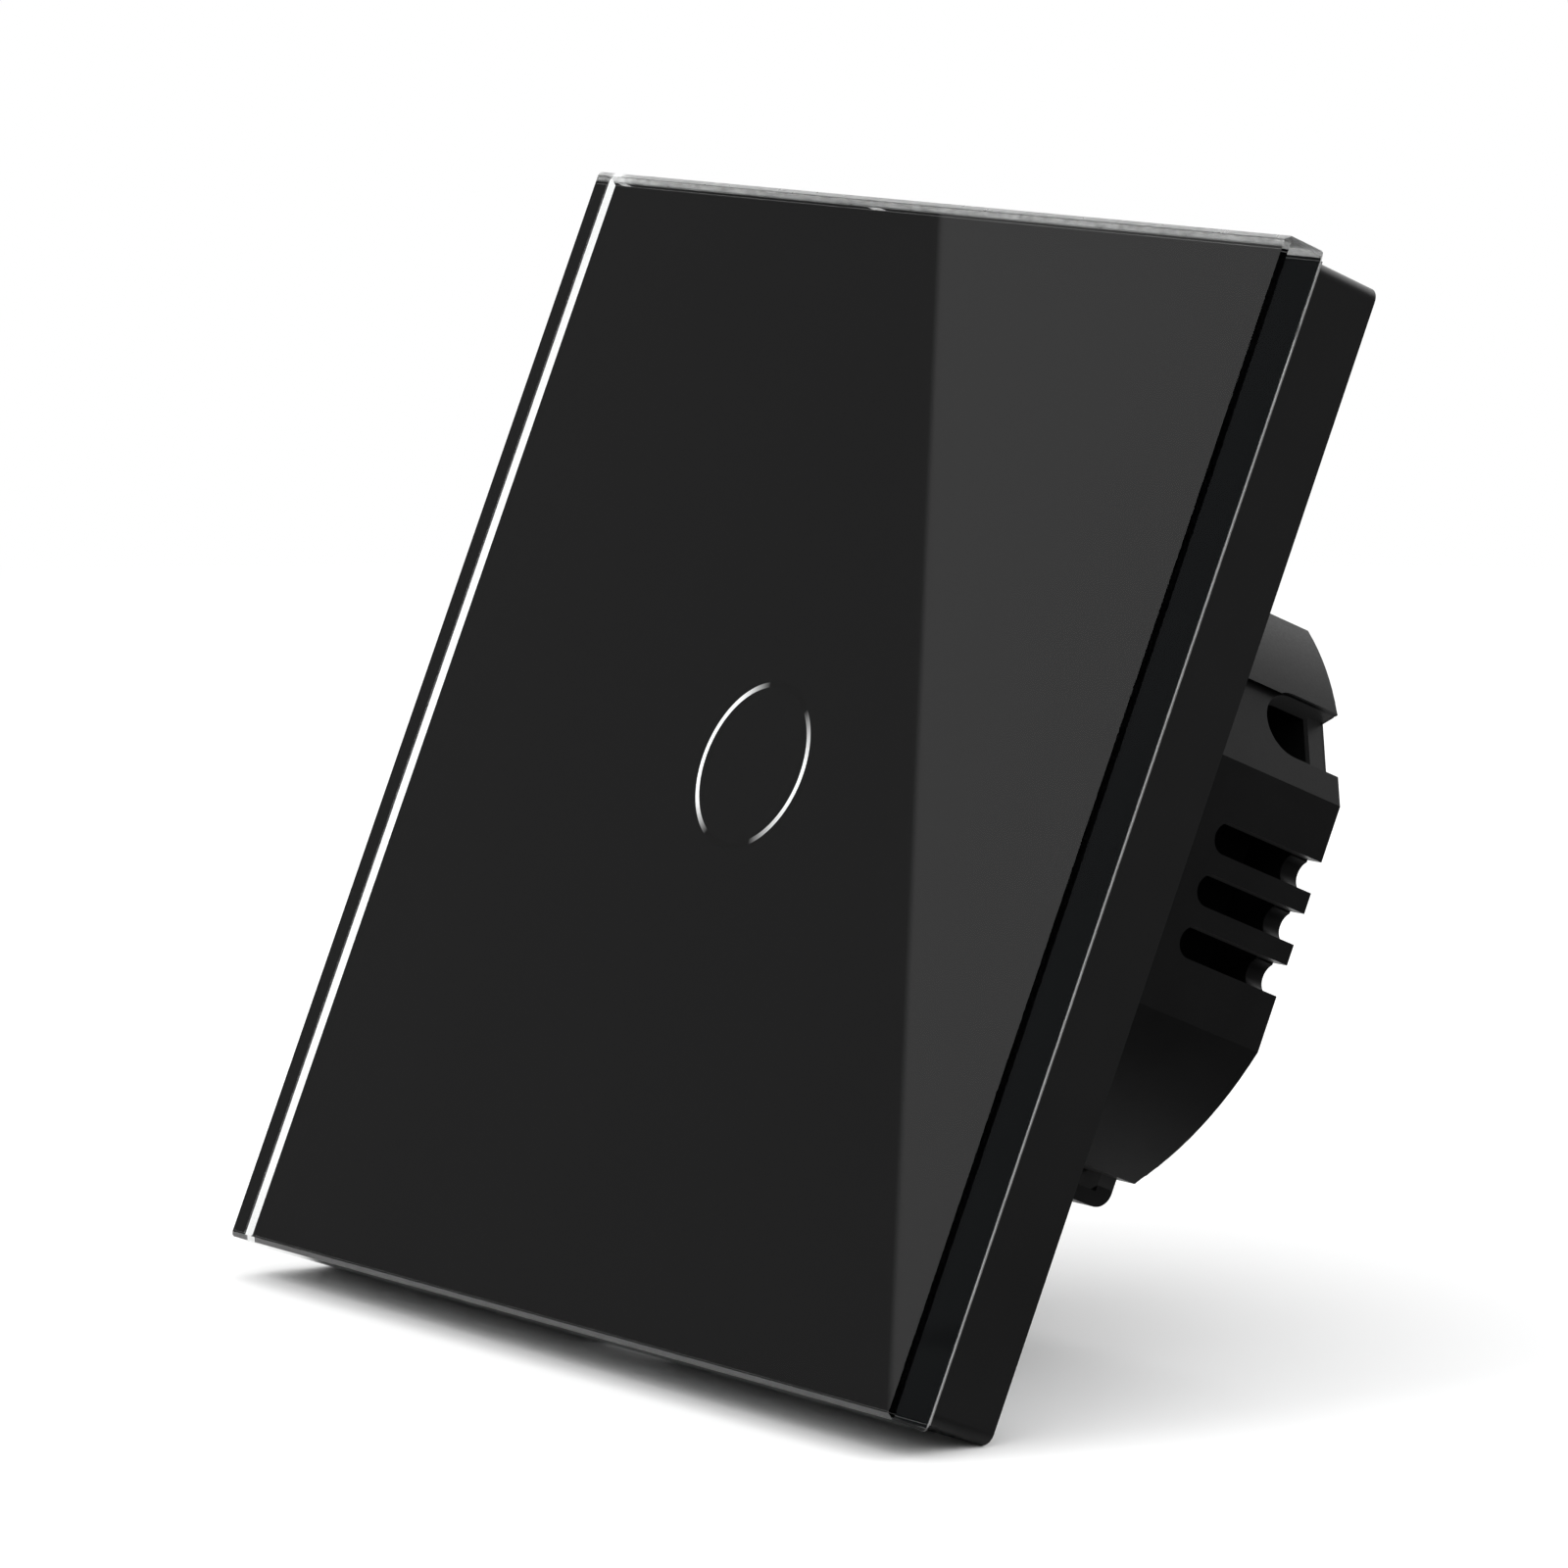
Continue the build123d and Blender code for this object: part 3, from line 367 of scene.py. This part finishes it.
def ground_share(tree, high):
    """Is 1 on the ground bevels round the back of the glass, less along its top, and 0 elsewhere."""
    x, y, z = object_axes(tree)
    reach = math_node(tree, "MAXIMUM", math_node(tree, "ABSOLUTE", x), math_node(tree, "ABSOLUTE", z))
    outside = math_node(tree, "GREATER_THAN", reach, high.x - GROUND_EDGE)
    behind = math_node(tree, "GREATER_THAN", y, high.y - REAR_BEVEL + GROUND_START)
    top = math_node(tree, "GREATER_THAN", z, high.z - TOP_GROUND)
    return math_node(tree, "MAXIMUM", product(tree, outside, behind), product(tree, top, TOP_SHARE))


def glass_finish():
    material, tree, output = new_material("panel_glass")
    shader = node(tree, "ShaderNodeBsdfPrincipled")
    shader.inputs["Transmission Weight"].default_value = 1.0
    shader.inputs["IOR"].default_value = 1.5
    _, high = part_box("glass_panel")
    rough = spread(tree, noise(tree, GROUND_GRAIN), *GROUND_ROUGH)
    tree.links.new(product(tree, ground_share(tree, high), rough), shader.inputs["Roughness"])
    patches = spread(tree, noise(tree, GLASS_CLOUD))
    tree.links.new(mixed_colour(tree, patches, GLASS_DARK, GLASS_LIGHT), shader.inputs["Base Color"])
    faces = node(tree, "ShaderNodeNewGeometry")
    turned = node(tree, "ShaderNodeSeparateXYZ")
    tree.links.new(faces.outputs["Normal"], turned.inputs["Vector"])
    # Painted reflection tint on the faces turned to the right.
    painted_tint_side = math_node(tree, "GREATER_THAN", turned.outputs["X"], RIGHT_FACING)
    tree.links.new(mixed_colour(tree, painted_tint_side, grey(1.0), RIGHT_SIDE_PAINTED_TINT),
                   shader.inputs["Specular Tint"])
    tree.links.new(shader.outputs["BSDF"], output.inputs["Surface"])
    return material


def ring_painted_reflection_finish():
    """Painted reflection: the silver fades to black at two places on the ring, as it does in the photograph,
    and the ring has a painted glow though it is no lamp.
    """
    material, tree, output = new_material("silver_print")
    shader = node(tree, "ShaderNodeBsdfPrincipled")
    shader.inputs["Specular IOR Level"].default_value = 0.0
    # The emission is a painted glow.
    shader.inputs["Emission Strength"].default_value = RING_PAINTED_GLOW
    x, _, z = object_axes(tree)
    angle = math_node(tree, "ARCTAN2", z, x)
    doubled = product(tree, math_node(tree, "SUBTRACT", angle, RING_PAINTED_DARK_ANGLE), 2.0)
    tilted = math_node(tree, "COSINE", math_node(tree, "SUBTRACT", angle, RING_PAINTED_TILT))
    painted_reflection_wave = math_node(tree, "ADD", math_node(tree, "COSINE", doubled),
                     product(tree, tilted, RING_PAINTED_TILT_SHARE))
    colour = mixed_colour(tree, ranged(tree, painted_reflection_wave, *RING_PAINTED_FADE), grey(0.0), grey(RING_SILVER_AND_HIGHLIGHT))
    tree.links.new(colour, shader.inputs["Base Color"])
    tree.links.new(colour, shader.inputs["Emission Color"])
    tree.links.new(spread(tree, noise(tree, RING_GRAIN), *RING_ROUGH), shader.inputs["Roughness"])
    tree.links.new(shader.outputs["BSDF"], output.inputs["Surface"])
    return material


def floor_painted_shade(tree, distance):
    """Painted shade: where the floor is dark for rays that bounce off the switch, and how bright that dark
    part is. It darkens the switch's reflections and the light bounced onto it.
    """
    x, y, _ = object_axes(tree)
    beside = ranged(tree, x, *PAINTED_SHADE_BESIDE)
    behind = ranged(tree, y, *PAINTED_SHADE_BEHIND)
    path = node(tree, "ShaderNodeLightPath")
    bounced = math_node(tree, "MAXIMUM", path.outputs["Is Glossy Ray"], path.outputs["Is Diffuse Ray"])
    opaque = math_node(tree, "SUBTRACT", bounced, path.outputs["Is Transmission Ray"])
    dark = product(tree, ranged(tree, distance, *PAINTED_SHADE_DISTANCE), ranged(tree, x, *PAINTED_SHADE_RIGHT),
                   math_node(tree, "MAXIMUM", beside, behind), opaque)
    before = product(tree, ranged(tree, x, *PAINTED_DIM_BESIDE), ranged(tree, y, *PAINTED_DIM_BEFORE))
    return dark, math_node(tree, "MAXIMUM", ranged(tree, distance, *PAINTED_DIM_FAR), before)


def floor_finish():
    """White paper near the switch that turns to plain white further out, and is clear from below. To the
    right of the switch it has a painted shade that only rays bouncing off the switch see.
    """
    material, tree, output = new_material("studio_floor")
    paper = node(tree, "ShaderNodeBsdfDiffuse")
    paper.inputs["Color"].default_value = (*grey(PAPER), 1.0)
    plain = node(tree, "ShaderNodeEmission")
    painted_dim = node(tree, "ShaderNodeEmission")
    clear = node(tree, "ShaderNodeBsdfTransparent")
    side = node(tree, "ShaderNodeNewGeometry")
    place = node(tree, "ShaderNodeTexCoord")
    length = node(tree, "ShaderNodeVectorMath", operation="LENGTH")
    tree.links.new(place.outputs["Object"], length.inputs[0])
    distance = length.outputs["Value"]
    # Painted shade, seen only by rays that bounce off the switch.
    dark, dim_strength = floor_painted_shade(tree, distance)
    tree.links.new(dim_strength, painted_dim.inputs["Strength"])
    seen = mixed_shader(tree, ranged(tree, distance, *PLAIN_WHITE), paper.outputs["BSDF"],
                        plain.outputs["Emission"])
    seen = mixed_shader(tree, dark, seen, painted_dim.outputs["Emission"])
    seen = mixed_shader(tree, side.outputs["Backfacing"], seen, clear.outputs["BSDF"])
    tree.links.new(seen, output.inputs["Surface"])
    return material


def add_mesh(name, vertices, faces, material):
    mesh = bpy.data.meshes.new(name)
    mesh.from_pydata([Vector(v) for v in vertices], [], faces)
    mesh.materials.append(material)
    mesh.update()
    return add_object(name, mesh)


def add_print(material, edge_material):
    low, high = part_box("ink_film")
    front = low.y - PRINT_STEP
    corners = [(low.x, low.z), (high.x, low.z), (high.x, high.z), (low.x, high.z)]
    vertices = [(x, front, z) for x, z in corners] + [(x, high.y, z) for x, z in corners]
    faces = [(0, 1, 2, 3), (7, 6, 5, 4), (1, 0, 4, 5), (2, 1, 5, 6), (3, 2, 6, 7), (0, 3, 7, 4)]
    piece = add_mesh("black_print_layer", vertices, faces, material)
    piece.data.materials.append(edge_material)
    for side in piece.data.polygons[2:]:
        side.material_index = 1
    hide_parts("ink_film")
    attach(piece, "panel")
    return front


def add_ring(material, print_front):
    low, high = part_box("ring_mark")
    outer = (high.x - low.x) / 2
    inner = outer - RING_WIDTH
    front = print_front - RING_STEP
    vertices = []
    for step in range(RING_SIDES):
        turn = 2 * math.pi * step / RING_SIDES
        for radius, y in ((outer, front), (inner, front), (inner, high.y), (outer, high.y)):
            vertices.append((radius * math.cos(turn), y, radius * math.sin(turn)))
    faces = []
    for step in range(RING_SIDES):
        here = 4 * step
        then = 4 * ((step + 1) % RING_SIDES)
        for corner in range(4):
            after = (corner + 1) % 4
            faces.append((here + corner, then + corner, then + after, here + after))
    piece = add_mesh("silver_ring_layer", vertices, faces, material)
    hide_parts("ring_mark")
    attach(piece, "panel")


def add_floor():
    far = FLOOR_REACH
    corners = [(-far, -far, 0.0), (far, -far, 0.0), (far, far, 0.0), (-far, far, 0.0)]
    floor = add_mesh("floor", corners, [(0, 1, 2, 3)], floor_finish())
    floor.matrix_world = Matrix.Translation(ROOM_UP * FLOOR_LEVEL) @ room_turn()


def add_key_light():
    data = bpy.data.lights.new("key_light", "AREA")
    data.shape = "RECTANGLE"
    data.size = KEY_SIDE
    data.size_y = KEY_SIDE
    data.energy = KEY_POWER
    light = add_object("key_light", data)
    place = room_turn() @ KEY_PLACE
    light.matrix_world = upright_matrix(place, place.normalized(), room_turn() @ Vector((0.0, 1.0, 0.0)))
    light.visible_camera = False
    light.visible_transmission = False
    light.visible_glossy = False


def facing(tree, direction):
    """The cosine of the angle between where a ray goes and this direction."""
    place = node(tree, "ShaderNodeTexCoord")
    made = node(tree, "ShaderNodeVectorMath", operation="DOT_PRODUCT")
    made.inputs[1].default_value = direction
    tree.links.new(place.outputs["Generated"], made.inputs[0])
    return made.outputs["Value"]


def background(tree, strength=None):
    made = node(tree, "ShaderNodeBackground")
    if strength is not None:
        tree.links.new(strength, made.inputs["Strength"])
    return made.outputs["Background"]


def mirrored_field(tree, camera):
    """The lights that show in the glass: the straight edge in its front, and panels above and around."""
    upper, lower = [mirrored_ray(camera, pixel) for pixel in EDGE_PIXELS]
    edge = upper.cross(lower).normalized()
    if edge.dot(mirrored_ray(camera, LIGHT_SIDE_PIXEL)) < 0:
        edge = -edge
    step = ranged(tree, facing(tree, edge), *EDGE_STEP)
    face = ranged(tree, facing(tree, mirrored_ray(camera, MIDDLE_PIXEL)), *FACE_FIELD)
    overhead = ranged(tree, facing(tree, ROOM_UP), *OVERHEAD)
    behind = ranged(tree, facing(tree, BACK_PANEL), *BACK_PANEL_LIGHT)
    beside = ranged(tree, facing(tree, LEFT_PANEL), *LEFT_PANEL_LIGHT)
    shade = ranged(tree, facing(tree, CAMERA_PLACE.normalized()), *CAMERA_SHADE)
    lit = math_node(tree, "ADD", overhead, product(tree, step, face))
    lit = math_node(tree, "ADD", lit, math_node(tree, "ADD", behind, beside))
    return product(tree, lit, shade)


def soft_sky(tree):
    height = facing(tree, ROOM_UP)
    front = ranged(tree, facing(tree, ROOM_FRONT), *SKY_FRONT)
    low = ranged(tree, height, *SKY_LOW)
    sky = math_node(tree, "SUBTRACT", 1.0, product(tree, front, low))
    return product(tree, sky, ranged(tree, height, *SKY_LIFT))


def add_world(camera):
    world = bpy.data.worlds.new("studio")
    bpy.context.scene.world = world
    world.use_nodes = True
    tree = world.node_tree
    tree.nodes.clear()
    output = node(tree, "ShaderNodeOutputWorld")
    path = node(tree, "ShaderNodeLightPath")
    straight = math_node(tree, "MAXIMUM", path.outputs["Is Camera Ray"], path.outputs["Is Transmission Ray"])
    seen = mixed_shader(tree, path.outputs["Is Glossy Ray"], background(tree, soft_sky(tree)),
                        background(tree, mirrored_field(tree, camera)))
    seen = mixed_shader(tree, straight, seen, background(tree))
    tree.links.new(seen, output.inputs["Surface"])


def dress(finishes):
    for part in frame["record"]["subparts"]:
        for slot in frame["nodes"][part["node"]].material_slots:
            slot.material = finishes[part["material_slot"]]


def main():
    bpy.context.scene.view_settings.view_transform = "Standard"
    camera = add_camera()
    finishes = {name: finish(name, **look) for name, look in LOOKS.items()}
    finishes["panel_glass"] = glass_finish()
    finishes["silver_print"] = ring_painted_reflection_finish()
    # Painted light on the walls of the housing's cuts.
    paint_light_on_cuts(finishes["housing_plastic"])
    dress(finishes)
    print_front = add_print(finishes["black_print"], finishes["film_edge"])
    add_ring(finishes["silver_print"], print_front)
    add_floor()
    add_key_light()
    add_world(camera)


main()
